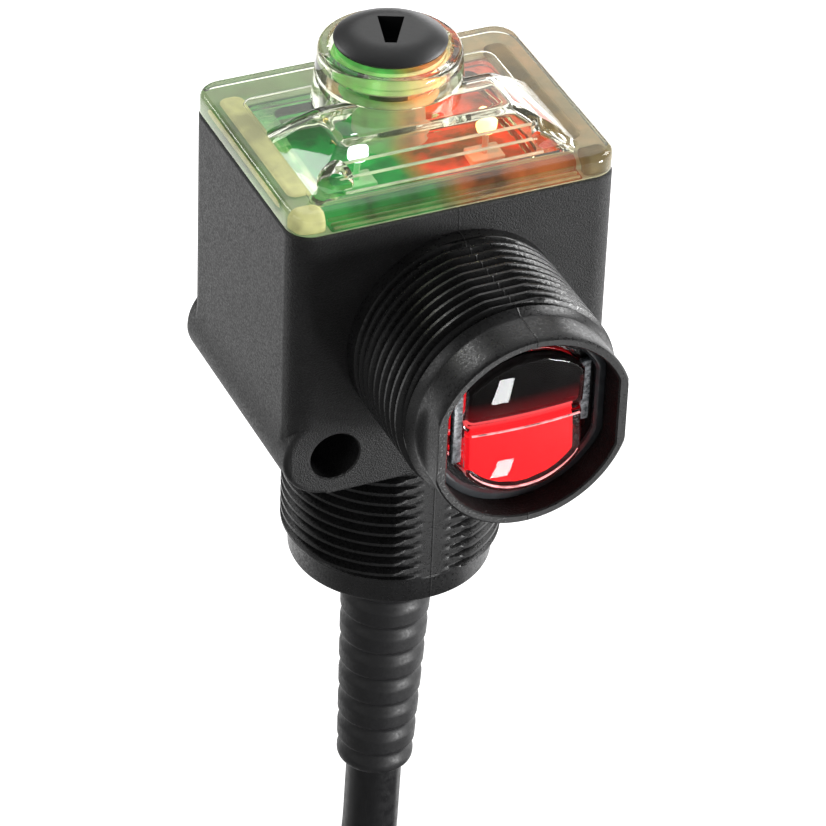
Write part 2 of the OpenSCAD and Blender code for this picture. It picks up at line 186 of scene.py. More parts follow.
def combine(obj, others, operation, sharp=35):
    """Joins other closed meshes to obj, or cuts them out of it, and uses them up."""
    for other in others:
        modifier = obj.modifiers.new("combine", "BOOLEAN")
        modifier.operation = operation
        modifier.solver = "EXACT"
        modifier.object = other
        bake_modifiers(obj)
        bpy.data.objects.remove(other)
    shade(obj.data, sharp)
    return obj


def join(obj, others):
    """Adds other meshes to obj as they are, with their materials."""
    bm = bmesh.new()
    bm.from_mesh(obj.data)
    for other in others:
        slots = []
        for material in other.data.materials:
            if material.name not in obj.data.materials:
                obj.data.materials.append(material)
            slots.append(obj.data.materials.find(material.name))
        other.data.polygons.foreach_set(
            "material_index", [slots[p.material_index] for p in other.data.polygons])
        bm.from_mesh(other.data)
    bm.to_mesh(obj.data)
    bm.free()
    for other in others:
        bpy.data.objects.remove(other)
    return obj


def loft(rings, first_cap=True, last_cap=True):
    """Vertices and faces of a skin over rings that all have the same number of points."""
    count = len(rings[0])
    verts = [p for ring in rings for p in ring]
    faces = []
    for j in range(len(rings) - 1):
        for i in range(count):
            a, b = j * count + i, j * count + (i + 1) % count
            faces.append((a, b, b + count, a + count))
    if first_cap:
        faces.append(tuple(reversed(range(count))))
    if last_cap:
        faces.append(tuple(range((len(rings) - 1) * count, len(rings) * count)))
    return verts, faces


def reach_at(radius, angle):
    """A radius is either a number or a function of the angle."""
    return radius(angle) if callable(radius) else radius


def polar_rings(rows, steps, place):
    """Rings from rows of (height, radius)."""
    angles = [2 * math.pi * i / steps for i in range(steps)]
    return [
        [place(reach_at(r, a) * math.cos(a), reach_at(r, a) * math.sin(a), height) for a in angles]
        for height, r in rows
    ]


def lathe(name, rows, place, material=None, steps=128, sharp=35):
    """A closed turned shape from rows of (height, radius)."""
    return mesh_object(name, *loft(polar_rings(rows, steps, place)), material, sharp)


def upright(x=0.0, y=0.0, z=0.0):
    return lambda u, v, h: (x + u, y + v, z + h)


def along_nose(u, v, h):
    """Places a shape on the nose's axis; h runs forward from the housing's front face."""
    return (u, FRONT_Y - h, NOSE_Z + v)


def down_base(u, v, h):
    """Places a shape on the base's axis; h runs down from the housing's underside."""
    return (u, -v, -h)


def along_hole(side):
    """Places a shape on the axis of a mounting hole; h runs forward from the housing's middle."""
    return lambda u, v, h: (side * HOLE_X + u, -h, HOLE_Z + v)


def rounding(edge, radius, steps):
    """(height, inset) pairs of a quarter round that ends at the height edge."""
    return [
        (edge - radius * (1 - math.sin(t)), radius * (1 - math.cos(t)))
        for t in (math.pi / 2 * k / steps for k in range(steps + 1))
    ]


def rounded_outline(half_x, half_y, radius, steps=10, centre=(0, 0)):
    """A rectangle's outline with round corners, anticlockwise."""
    points = []
    for quarter, (sx, sy) in enumerate(((1, 1), (-1, 1), (-1, -1), (1, -1))):
        for k in range(steps + 1):
            a = math.pi / 2 * (quarter + k / steps)
            points.append((
                centre[0] + sx * (half_x - radius) + radius * math.cos(a),
                centre[1] + sy * (half_y - radius) + radius * math.sin(a),
            ))
    return points


def slab(name, half_x, half_y, corner, bottom, top, low_edge, high_edge, material=None,
         centre=(0, 0), steps=10):
    """A block with round upright corners and rounded lower and upper edges."""
    rows = [(bottom + top - h, d) for h, d in reversed(rounding(top, low_edge, 5))]
    rows += rounding(top, high_edge, 5)
    rings = [
        [
            (x, y, height)
            for x, y in rounded_outline(half_x - d, half_y - d, max(corner - d, 0.05), steps, centre)
        ]
        for height, d in rows
    ]
    return mesh_object(name, *loft(rings), material)


def tube(name, path, radii, material=None, sides=16, sharp=50):
    """A round tube along points, with a radius at each."""
    rings = []
    for i, point in enumerate(path):
        before = Vector(path[max(i - 1, 0)])
        after = Vector(path[min(i + 1, len(path) - 1)])
        along = (after - before).normalized()
        side = along.cross(Vector((0, 0, 1)))
        if side.length < 0.01:
            side = along.cross(Vector((0, 1, 0)))
        side.normalize()
        other = along.cross(side)
        rings.append([
            tuple(Vector(point) + radii[i] * (side * math.cos(a) + other * math.sin(a)))
            for a in (2 * math.pi * k / sides for k in range(sides))
        ])
    return mesh_object(name, *loft(rings), material, sharp)


def smooth_step(low, high, value):
    t = min(max((value - low) / (high - low), 0), 1)
    return t * t * (3 - 2 * t)


# ---- material tools ----

def material(name, color, roughness, **inputs):
    """A Principled material; other inputs are given by their names, with _ for a space."""
    made = bpy.data.materials.new(name)
    made.use_nodes = True
    shader = made.node_tree.nodes["Principled BSDF"]
    shader.inputs["Base Color"].default_value = (*color, 1)
    shader.inputs["Roughness"].default_value = roughness
    for key, value in inputs.items():
        shader.inputs[key.replace("_", " ")].default_value = value
    return made


def shader_of(made):
    return made.node_tree.nodes["Principled BSDF"]


def feed(made, socket, value):
    """Sets a socket, or links it when the value is another node's output."""
    if isinstance(value, bpy.types.NodeSocket):
        made.node_tree.links.new(value, socket)
    else:
        socket.default_value = value


def add_node(made, kind, **inputs):
    """A new node, with its inputs given by their names, with _ for a space."""
    node = made.node_tree.nodes.new(kind)
    for key, value in inputs.items():
        feed(made, node.inputs[key.replace("_", " ")], value)
    return node


def math_node(made, operation, a, b=0.0):
    node = add_node(made, "ShaderNodeMath")
    node.operation = operation
    feed(made, node.inputs[0], a)
    feed(made, node.inputs[1], b)
    return node.outputs[0]


def position(made):
    """The object coordinates, which are the row frame's, in metres."""
    found = made.node_tree.nodes.get("position")
    if found is None:
        found = made.node_tree.nodes.new("ShaderNodeTexCoord")
        found.name = "position"
    return found.outputs["Object"]


def coordinate(made, axis):
    return add_node(made, "ShaderNodeSeparateXYZ", Vector=position(made)).outputs[axis]


def noise(made, size, detail=2.0, roughness=0.5):
    """Noise whose features are about the given size, in millimetres."""
    node = add_node(made, "ShaderNodeTexNoise", Vector=position(made), Scale=1 / (size * MM),
                    Detail=detail, Roughness=roughness)
    return node.outputs["Fac"]


def blend_range(made, value, low, high, start=0.35, end=0.65):
    """Maps noise between start and end to the range from low to high."""
    node = add_node(made, "ShaderNodeMapRange", Value=value, From_Min=start, From_Max=end,
                    To_Min=low, To_Max=high)
    return node.outputs["Result"]


def add_bump(made, height, depth, strength=1.0):
    """Adds a bump of the given depth, in millimetres, on top of any that is there."""
    normal = shader_of(made).inputs["Normal"]
    node = add_node(made, "ShaderNodeBump", Height=height, Distance=depth * MM, Strength=strength)
    if normal.is_linked:
        made.node_tree.links.new(normal.links[0].from_socket, node.inputs["Normal"])
    made.node_tree.links.new(node.outputs["Normal"], normal)


def vary(made, socket, value):
    made.node_tree.links.new(value, shader_of(made).inputs[socket])


def color_mix(made, value, first, second):
    """A colour that runs from the first to the second as the value goes from 0 to 1."""
    node = add_node(made, "ShaderNodeMix", Factor=value)
    node.data_type = "RGBA"
    node.inputs[MIX_FIRST].default_value = (*first, 1)
    node.inputs[MIX_SECOND].default_value = (*second, 1)
    return node.outputs[MIX_RESULT]


def height_ramp(made, low, high):
    """From 0 at the lower height to 1 at the upper, both in millimetres."""
    return blend_range(made, coordinate(made, "Z"), 0, 1, low * MM, high * MM)


def two_tone(made, value, dark, light):
    vary(made, "Base Color", color_mix(made, value, dark, light))


def let_light_through(made, tint):
    """Lets lamp light pass through clear plastic, tinted, so that what is inside it is lit."""
    path = add_node(made, "ShaderNodeLightPath")
    clear = add_node(made, "ShaderNodeBsdfTransparent", Color=(*tint, 1))
    mix = add_node(made, "ShaderNodeMixShader", Fac=path.outputs["Is Shadow Ray"])
    feed(made, mix.inputs[1], shader_of(made).outputs["BSDF"])
    feed(made, mix.inputs[2], clear.outputs["BSDF"])
    feed(made, made.node_tree.nodes["Material Output"].inputs["Surface"], mix.outputs["Shader"])


# ---- materials ----

def moulded_black(name, roughness=0.5, grain=0.15, depth=0.13, seam=True):
    """Black glass-filled plastic with a fine sparked grain and faint parting lines."""
    made = material(name, (0.005, 0.005, 0.0052), roughness, IOR=1.5)
    coarse = noise(made, 2.5, 4)
    two_tone(made, blend_range(made, coarse, 0, 1), (0.004, 0.004, 0.0042), (0.009, 0.009, 0.0095))
    fine = noise(made, grain, 3, 0.6)
    off = math_node(made, "ABSOLUTE", coordinate(made, "X"))
    # The side faces are smoother than the front
    side = BODY_W / 2
    coarse_part = blend_range(made, off, 1, 0.1, (side - 0.25) * MM, (side - 0.05) * MM)
    vary(made, "Roughness", blend_range(made, fine, roughness - 0.12, roughness + 0.12))
    add_bump(made, math_node(made, "MULTIPLY", fine, coarse_part), depth)
    if seam:
        ridge = blend_range(made, off, 1, 0, 0.02 * MM, 0.09 * MM)
        add_bump(made, ridge, 0.04, 0.8)
    return made


def clear_plastic(name, tint, roughness=0.02, ior=1.5, clearness=1.0):
    """Clear plastic; a clearness below 1 makes it slightly milky."""
    made = material(name, tint, roughness, IOR=ior, Transmission_Weight=clearness)
    add_bump(made, noise(made, 3.0, 2), 0.02, 0.5)
    vary(made, "Roughness", blend_range(made, noise(made, 1.2, 3), roughness * 0.6, roughness * 1.6))
    let_light_through(made, tint)
    return made


def soft_black(name, color, grain, low, high):
    """Black rubber or cable jacket, whose roughness varies between two values."""
    made = material(name, color, (low + high) / 2, IOR=1.5)
    fine = noise(made, grain, 3)
    vary(made, "Roughness", blend_range(made, fine, low, high))
    add_bump(made, fine, 0.01)
    return made


def rubber_black(name):
    return soft_black(name, (0.010, 0.010, 0.011), 0.3, 0.42, 0.56)


def plain_plastic(name, color, roughness=0.4, grain=0.4, depth=0.006):
    made = material(name, color, roughness, IOR=1.5)
    dark = tuple(c * 0.85 for c in color)
    light = tuple(min(c * 1.12, 1) for c in color)
    two_tone(made, blend_range(made, noise(made, grain * 3, 3), 0, 1), dark, light)
    add_bump(made, noise(made, grain, 2), depth)
    return made


def metal(name, color, roughness=0.3):
    made = material(name, color, roughness, Metallic=1.0)
    vary(made, "Roughness", blend_range(made, noise(made, 0.5, 3), roughness - 0.08, roughness + 0.1))
    return made


def glowing(name, color, strength):
    """A lit chip under clear resin."""
    made = material(name, (0.8, 0.8, 0.8), 0.3, Emission_Color=(*color, 1), Emission_Strength=strength)
    vary(made, "Roughness", blend_range(made, noise(made, 0.3, 2), 0.2, 0.4))
    return made


camera()

# ---- the cable ----

def coil_path():
    """The turns, layer by layer from the bundle's top, to and fro through its columns."""
    places = []
    for layer in range(4):
        columns = (1, 0, -1) if layer % 2 == 0 else (-1, 0, 1)
        places += [(COIL_R + c * TURN_STEP, 3 - layer) for c in columns]
    bottom = GROUND_Z + CABLE_R
    points = []
    per_turn = 48
    start, end = math.pi, 2 * math.pi * len(places) + math.pi / 2
    count = round((end - start) / (2 * math.pi) * per_turn)
    for i in range(1, count + 1):
        angle = start + (end - start) * i / count
        turn = (angle - math.radians(135)) / (2 * math.pi)
        k = min(round(turn), len(places) - 1)
        (r0, l0), (r1, l1) = places[max(k - 1, 0)], places[k]
        moved = smooth_step(-CHANGE, CHANGE, turn - k)
        # Where the turn changes layer it swings clear of the turn that it climbs beside
        swing = 0 if l0 == l1 else math.copysign(SWING, r1 - COIL_R) * math.sin(math.pi * moved)
        radius = r0 + (r1 - r0) * moved + swing
        height = bottom + (l0 + (l1 - l0) * moved) * TURN_STEP
        # The first turn comes down from on top of the bundle
        height += TURN_STEP * (1 - smooth_step(0, math.pi / 2, angle - start))
        points.append((COIL_X + radius * math.cos(angle), COIL_Y + radius * math.sin(angle), height))
    return points


def curve_object(name, points, radius, material):
    """A round cord along points in millimetres."""
    data = bpy.data.curves.new(name, "CURVE")
    data.dimensions = "3D"
    data.bevel_depth = radius * MM
    data.bevel_resolution = 5
    data.use_fill_caps = True
    spline = data.splines.new("POLY")
    spline.points.add(len(points) - 1)
    for target, point in zip(spline.points, points):
        target.co = (*(c * MM for c in point), 1)
    spline.use_smooth = True
    return link(name, data, material)


def smooth_points(points, pieces):
    """Catmull-Rom points through the given ones."""
    found = []
    for i in range(len(points) - 1):
        a, b, c, d = (Vector(points[min(max(i + k, 0), len(points) - 1)]) for k in (-1, 0, 1, 2))
        for k in range(pieces):
            t = k / pieces
            found.append(tuple(0.5 * (
                2 * b + (c - a) * t + (2 * a - 5 * b + 4 * c - d) * t * t
                + (3 * b - a - 3 * c + d) * t ** 3
            )))
    return found + [tuple(points[-1])]


def conductor(index, name, insulation, copper):
    """One of the four conductors that fan out from the cut end of the cable."""
    side, level = WIRE_PLACES[index]
    high = CABLE_R + level * 0.8
    turn = math.radians(side * 4 + level * 4)
    start = Vector((COIL_X - TAIL_L, COIL_Y + COIL_R + TURN_STEP + side / 2, GROUND_Z + high))
    drop = high - WIRE_R - 0.1
    steps, bare_from = 24, 20
    path = []
    for i in range(steps + 1):
        t = i / steps
        reach = WIRE_L * t
        path.append(tuple(start + Vector((
            -reach * math.cos(turn) + 0.8 * (1 - t),
            reach * math.sin(turn) + 0.25 * math.sin(math.pi * t * 1.5) * side,
            -drop * smooth_step(0, 0.8, t),
        ))))
    sleeve = tube(name, path[:bare_from + 1], [WIRE_R] * (bare_from + 1), insulation, 20)
    bare = path[bare_from:]
    strands = tube(name + "_copper", bare, [WIRE_R * 0.62] * len(bare), copper, 12)
    return join(sleeve, [strands])


def cable_tie(made):
    """A flat band round the bundle, with round corners and a square lock."""
    half_w = (2 * TURN_STEP + 2 * CABLE_R) / 2
    half_h = (3 * TURN_STEP + 2 * CABLE_R) / 2
    middle_h = GROUND_Z + half_h
    turn = Matrix.Rotation(math.radians(TIE_ANGLE), 3, "Z")

    def place(across, height, along):
        p = turn @ Vector((COIL_R + across, along, 0))
        return (COIL_X + p.x, COIL_Y + p.y, middle_h + height)

    rings = []
    section = [(-TIE_W / 2, 0.0), (-TIE_W / 2, 0.45), (-TIE_W / 2 + 0.25, TIE_T),
               (TIE_W / 2 - 0.25, TIE_T), (TIE_W / 2, 0.45), (TIE_W / 2, 0.0)]
    for along, proud in section:
        outline = rounded_outline(half_w - TIE_T + proud, half_h - TIE_T + proud, 2.2 + proud, 8)
        rings.append([place(x, z, along) for x, z in outline])
    verts, faces = loft(rings + [rings[0]], False, False)
    band = mesh_object("bundle_tie", verts, faces, made)
    lock = slab("tie_lock", 2.6, 1.6, 0.5, 0, 2.4, 0.3, 0.5, made)
    for v in lock.data.vertices:
        x, y, z = (c / MM for c in v.co)
        v.co = Vector(place(x - 2, half_h - TIE_T - z + 1.7, y)) * MM
    return join(band, [lock])


def cable_route():
    """Down from the strain relief along its lean, then round a quarter turn to the coil's top."""
    points = []
    x, y, z = ROUTE_START
    for k in range(6):
        d = ROUTE_DROP * k / 6
        points.append((x - d * math.tan(math.radians(RELIEF_LEAN)) - 0.9 * smooth_step(7, 21, d), y, z - d))
    for k in range(8):
        a = math.radians(12 * k)
        points.append((-2.1, y - ROUTE_R * (1 - math.cos(a)), z - ROUTE_DROP - ROUTE_R * math.sin(a)))
    return smooth_points(points, 3)


def make_cable():
    jacket = soft_black("cable_jacket", (0.006, 0.006, 0.007), 0.8, 0.28, 0.42)
    tail_start = (COIL_X, COIL_Y + COIL_R + TURN_STEP, GROUND_Z + CABLE_R)
    tail = [(tail_start[0] - TAIL_L * k / 4, *tail_start[1:]) for k in range(1, 5)]
    points = cable_route() + coil_path() + tail
    cable = curve_object("cable_lead", points, CABLE_R, jacket)
    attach(cable, "sensor")
    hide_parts("cable", "cable_coil", "cable_tail")

    copper = metal("bare_copper", (0.75, 0.36, 0.2), 0.35)
    tie = cable_tie(plain_plastic("tie_plastic", (0.03, 0.031, 0.033), 0.35))
    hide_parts("cable_tie")
    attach(tie, "sensor")
    colours = {
        "brown": (0.16, 0.06, 0.025),
        "white": (0.8, 0.8, 0.78),
        "blue": (0.03, 0.1, 0.45),
        "black": (0.015, 0.015, 0.015),
    }
    for index, (colour, rgb) in enumerate(colours.items()):
        wire = conductor(index, f"lead_{colour}", plain_plastic(f"wire_{colour}", rgb, 0.35), copper)
        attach(wire, "sensor")
        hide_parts(f"conductor_{colour}")


# ---- the housing ----

def thread_radius(phase):
    """Radius of the thread's outline, where a crest is at phase 0 and a root at 0.5."""
    p = abs((phase + 0.5) % 1 - 0.5)
    return CREST_R - (CREST_R - ROOT_R) * min(max((p - LAND) / (0.5 - 2 * LAND), 0), 1)


def to_flat(distance, part):
    """How far a flat is along a direction, of which the given part points at the flat."""
    return distance / max(abs(part), 0.01)


def flat_limit(angle, depth):
    """The two flats of the nose's rim, which run out rearwards in a curve."""
    curve = 2.2
    runout = min(max(depth - 1.5, 0), curve)
    return to_flat(RIM_FLATS + curve - math.sqrt(curve ** 2 - runout ** 2), math.cos(angle))


def threaded_barrel(name, place, thread, flat, after, made, steps=360):
    """A barrel threaded between two heights; after holds the rows that follow.

    The thread is cut back to a narrow flat along the mould's parting line.
    """
    start, end = thread
    phases = [-0.5, LAND - 0.5, -0.25, -LAND, 0.0, LAND, 0.25, 0.5 - LAND]
    first = start + 0.75
    turns = math.ceil(end - start) + 2
    levels = [first + (t + p) * PITCH for t in range(-2, turns) for p in phases]
    columns = []
    for i in range(steps + 1):
        angle = 2 * math.pi * i / steps
        column = [(CREST_R, height) for height in (-0.3, start - 0.05, start)]
        for level in levels:
            height = min(max(level + PITCH * i / steps, start), end)
            fade = smooth_step(start, start + 0.5, height)
            run_out = smooth_step(end, end - 0.3, height)
            cut = (CREST_R - thread_radius((height - first) / PITCH - i / steps)) * fade
            radius = max(CREST_R - cut, ROOT_R) * run_out + ROOT_R * (1 - run_out)
            column.append((min(radius, to_flat(flat, math.sin(angle))), height))
        column += [(reach_at(r, angle), height) for height, r in after]
        columns.append([
            place(r * math.cos(angle), r * math.sin(angle), h) for r, h in column
        ])
    count = len(columns[0])
    verts = [p for column in columns for p in column]
    faces = []
    for i in range(steps):
        for j in range(count - 1):
            a = i * count + j
            faces.append((a, a + count, a + count + 1, a + 1))
    return mesh_object(name, verts, faces, made, 28)


def window_outline(inset):
    """The round window with its two flats, at an inset from its wall."""
    return lambda a: min(WINDOW_R - inset, to_flat(WINDOW_FLATS - inset, math.cos(a)))


def nose_shell(made):
    """The nose, from the housing's face over the rim and down to the ledge in front of the lens."""
    def rim(radius, back):
        return lambda a: min(radius, flat_limit(a, back))

    after = [(10.45, ROOT_R), (10.5, 8.72), (10.62, 8.78), (11.25, rim(PLAIN_R, 3.25))]
    after += [(NOSE_L - back, rim(PLAIN_R, back)) for back in (3.0, 2.7, 2.4, 2.1, 1.8, 1.5, 1.0, 0.3)]
    after += [(NOSE_L - 0.1, rim(PLAIN_R - 0.05, 0.1)), (NOSE_L, lambda a: rim(PLAIN_R - 0.16, 0)(a) - 0.03)]
    after += [(NOSE_L, window_outline(-0.12)), (NOSE_L - 0.12, window_outline(0))]
    return threaded_barrel("nose_shell", along_nose, NOSE_THREAD, 8.8, after, made)


def base_shell(made):
    """The base barrel, down to its end and in to the strain relief."""
    after = [
        (12.5, ROOT_R), (12.55, PLAIN_R + 0.04), (12.65, PLAIN_R), (BASE_L - 0.25, PLAIN_R),
        (BASE_L - 0.07, PLAIN_R - 0.08), (BASE_L, PLAIN_R - 0.25), (BASE_L, 6.65),
        (BASE_L - 0.6, 6.6), (BASE_L - 0.6, RELIEF_R + 0.1), (BASE_L - 2, RELIEF_R + 0.1),
    ]
    return threaded_barrel("base_shell", down_base, BASE_THREAD, 8.35, after, made)


def side_blend(side):
    """A strip that fills the hollow where an ear swells out of the side wall."""
    radius, wall = 12.0, BODY_W / 2
    reach = wall + radius - HOLE_X
    rise = math.sqrt((EAR_R + radius) ** 2 - reach ** 2)
    low = math.atan2(rise, reach)
    section = [(wall - 0.4, HOLE_Z + rise), (wall - 0.4, HOLE_Z + 0.5)]
    for k in range(13):
        a = low * (1 - k / 12)
        section.append((wall + radius - radius * math.cos(a), HOLE_Z + rise - radius * math.sin(a)))
    # It follows the round corners at the front and the back
    turns = [math.radians(15 * k) for k in range(6)]
    ends = [(BODY_D / 2 - CORNER_R * (1 - math.sin(t)), CORNER_R * (1 - math.cos(t))) for t in turns]
    places = [(-y, d) for y, d in reversed(ends)] + ends
    rings = [[(side * (x - d), y, z) for x, z in section] for y, d in places]
    return mesh_object("side_blend", *loft(rings))


def ear(side):
    """The rounded lower corner round a mounting hole, the whole depth of the housing."""
    def reach(inset):
        def radius(a):
            low = HOLE_Z - inset if math.sin(a) < 0 else EAR_R - inset
            return 1 / math.hypot(math.cos(a) / (EAR_R - inset), math.sin(a) / low)
        return radius

    half = BODY_D / 2
    ends = rounding(half, 0.5, 5)
    rows = [(-h, reach(d)) for h, d in reversed(ends)] + [(h, reach(d)) for h, d in ends]
    return lathe("ear", rows, along_hole(side))


def make_housing():
    black = moulded_black("housing_plastic")
    body = slab("housing_shell", BODY_W / 2, BODY_D / 2, CORNER_R, HOLE_Z, BODY_H, 0.1, 0.3, None, steps=14)
    sump = slab("sump", HOLE_X + 0.7, BODY_D / 2, 0.1, 0, HOLE_Z + 1, 0.3, 0)
    combine(body, [sump] + [ear(side) for side in (-1, 1)] + [side_blend(side) for side in (-1, 1)], "UNION")
    half, flare = BODY_D / 2, HOLE_R + 1.1
    rows = [(-half - 1, flare), (-half + 0.12, HOLE_R), (half - 0.12, HOLE_R), (half + 1, flare)]
    holes = [lathe("hole", rows, along_hole(side), None, 96) for side in (-1, 1)]
    cavity = slab("cavity", BODY_W / 2 - WALL, BODY_D / 2 - WALL, 1.1, 8, BODY_H + 1, 0.5, 0)
    combine(body, holes + [cavity], "DIFFERENCE")
    body.data.materials.clear()
    body.data.materials.append(black)
    dull = moulded_black("housing_plastic_dull", 0.6, seam=False)
    shader_of(dull).inputs["IOR"].default_value = 1.3
    low = LENS_FLOOR - 0.5
    wall_rows = [(NOSE_L - 0.12, 0), (low, 0), (low, 1.3), (low - LENS_DEPTH, 1.3)]
    wall = window_ring("window_wall", wall_rows, dull, False)
    smooth = moulded_black("barrel_plastic", 0.36, 0.2, 0.010)
    shell = join(body, [nose_shell(smooth), base_shell(smooth), wall])
    shade(shell.data, 35)
    flat = shell.modifiers.new("flat_faces", "WEIGHTED_NORMAL")
    flat.keep_sharp = True
    bake_modifiers(shell)
    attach(shell, "sensor")
    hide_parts("housing")


# ---- the strain relief ----

def relief_radius(s):
    """Radius at a distance below the barrel's end: a taper with a crease above each rib."""
    radius = RELIEF_R + (RELIEF_END_R - RELIEF_R) * max(s, 0) / RELIEF_L
    for i in range(RELIEF_RIBS):
        below = s - RELIEF_FIRST - i * RELIEF_PITCH
        if -0.45 < below <= 0:
            radius -= 0.3 * smooth_step(-0.45, -0.05, below)
        elif 0 < below < 1.1:
            radius -= 0.3 * (1 - smooth_step(0.05, 1.1, below))
    return radius


def make_strain_relief():
    step = 0.12
    rows = [(-2.5, RELIEF_R)]
    rows += [(k * step, relief_radius(k * step)) for k in range(int((RELIEF_L - 0.9) / step))]
    end = rows[-1][1]
    rows += [(h, end - d) for h, d in rounding(RELIEF_L, 0.75, 6)]
    rows += [(RELIEF_L, CABLE_R + 0.02), (RELIEF_L - 2, CABLE_R)]
    lean = Matrix.Rotation(math.radians(RELIEF_LEAN), 3, "Y")

    def place(u, v, h):
        p = lean @ Vector((u, -v, -h))
        return (p.x, p.y, p.z - BASE_L)

    relief = lathe("relief_sleeve", rows, place, rubber_black("relief_rubber"), 128, 60)
    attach(relief, "sensor")
    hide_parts("strain_relief")


# ---- the lens and what is round it ----

def lens_half_width(z, inset):
    return min(LENS_W - inset, math.sqrt(max((LENS_R - inset) ** 2 - z * z, 0.01)))


def lens_front(x, z):
    """Height of the lens above its foot: two domes, a valley between them and a round edge."""
    upper = (z - LOBE_Z) ** 2 / (2 * LOBE_CURVE)
    lower = (z - LOW_LOBE_Z) ** 2 / (2 * LOW_LOBE_CURVE)
    height = LENS_RISE - x * x / (2 * LOBE_CURVE) - lower
    height -= (upper - lower) * smooth_step(WEB_LOW, WEB_HIGH, z)
    if WEB_LOW < z < WEB_HIGH:
        middle = (WEB_LOW + WEB_HIGH) / 2
        height -= WEB_DEPTH * (1 - abs(z - middle) / (WEB_HIGH - middle))
    bead = min(abs(z - WEB_LOW) / BEAD_HALF, 1)
    height += BEAD_RISE * math.sqrt(1 - bead * bead)
    inside = min(LENS_R - math.hypot(x, z), LENS_W - abs(x))
    turn = min(max(1 - inside / LENS_EDGE, 0), 1)
    return height - LENS_EDGE * (1 - math.sqrt(1 - turn * turn))


def lens_block(name, low, high, back, front, made, inset=0.0, count=48):
    """The part of the lens's outline between two heights, between a back and a front surface."""
    levels = [low + (high - low) * k / count for k in range(count + 1)]
    if low < WEB_LOW and high > WEB_HIGH:
        levels = sorted(levels + [WEB_LOW + BEAD_HALF * k / 4 for k in range(-4, 5)] + [WEB_HIGH])
    parts = [math.sin(math.pi / 2 * (2 * k / count - 1)) for k in range(count + 1)]
    points = [(lens_half_width(z, inset) * t, z) for z in levels for t in parts]
    verts = [along_nose(x, z, surface(x, z)) for surface in (front, back) for x, z in points]
    rows, row = len(levels), len(parts)
    faces = []
    for j in range(rows - 1):
        for i in range(count):
            a = j * row + i
            for first in (a, a + rows * row):
                faces.append((first, first + 1, first + row + 1, first + row))
    edge = list(range(row)) + [j * row + count for j in range(1, rows)]
    edge += [(rows - 1) * row + i for i in range(count - 1, -1, -1)]
    edge += [j * row for j in range(rows - 2, 0, -1)]
    for a, b in zip(edge, edge[1:] + edge[:1]):
        faces.append((a, b, b + rows * row, a + rows * row))
    return mesh_object(name, verts, faces, made, 25)


def window_ring(name, rows, made, closed=True):
    """A ring that follows the window's outline; rows are (height, inset from the window)."""
    rings = polar_rings([(h, window_outline(d)) for h, d in rows], 192, along_nose)
    verts, faces = loft(rings + [rings[0]] if closed else rings, False, False)
    return mesh_object(name, verts, faces, made, 40)


def make_lens():
    clear = clear_plastic("lens_plastic", (0.97, 0.975, 0.98), 0.01, 1.32)
    lens = lens_block("lens_block", -LENS_END, LENS_END, lambda x, z: LENS_FLOOR - LENS_DEPTH,
                      lambda x, z: LENS_FLOOR + 0.1 + lens_front(x, z), clear)
    rows = [(-1.6, 0.5), (-0.5, 0.5), (-0.45, 0.6), (-0.45, 2.2), (-1.6, 2.2)]
    join(lens, [window_ring("lens_flange", [(LENS_FLOOR + h, d) for h, d in rows], clear)])
    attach(lens, "sensor")
    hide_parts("lens")


def make_lens_gasket():
    grey = plain_plastic("grey_rubber", (0.05, 0.055, 0.06), 0.22)
    rows = [(-0.4, 0.02), (0.05, 0.05), (0.12, 0.2), (0.1, 0.6), (-0.1, 0.8), (-0.4, 0.8)]
    gasket = window_ring("window_gasket", [(LENS_FLOOR + h, d) for h, d in rows], grey)
    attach(gasket, "sensor")
    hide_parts("lens_gasket")


def make_side_strips():
    """Clear strips beside the lens, with the light that they catch painted on as a dark and pale mottle."""
    painted_caught_light = plain_plastic("clear_strip", (0.2, 0.21, 0.22), 0.2)
    two_tone(painted_caught_light, blend_range(painted_caught_light, noise(painted_caught_light, 0.4, 4, 0.7), 0, 1, 0.38, 0.66),
             (0.03, 0.035, 0.04), (0.26, 0.28, 0.30))
    strips = [
        slab("lens_strip", 0.42, 0.28, 0.15, NOSE_Z + low, NOSE_Z + 3.8, 0.1, 0.1, painted_caught_light,
             (x, FRONT_Y - LENS_FLOOR + 0.12))
        for x, low in ((-5.25, -3.0), (5.25, -1.6))
    ]
    side_strips = join(strips[0], strips[1:])
    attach(side_strips, "sensor")


def core_front(x, z):
    """What is seen through the lens lies close behind its front, and follows it."""
    return LENS_FLOOR - 0.9 + lens_front(x * 0.8, z)


def core_back(x, z):
    return core_front(x, z) - 0.25


def make_receiver_filter():
    """A dark red plate behind the upper lobe, nearly black but for its lower edge, which is painted lighter
    red with the emitter's light.
    """
    dark = material("red_filter", (0.004, 0.001, 0.001), 0.4, IOR=1.05)
    # Painted light: red from the emitter's glow at the lower edge, fading to near black above
    rise = height_ramp(dark, NOSE_Z + FILTER_LOW, NOSE_Z + FILTER_LOW + 2)
    two_tone(dark, rise, (0.10, 0.002, 0.004), (0.001, 0.0005, 0.0005))
    plate = lens_block("filter_plate", FILTER_LOW, LENS_END - 0.3, core_back, core_front, dark, 0.3, 16)
    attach(plate, "sensor")
    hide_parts("receiver_filter")


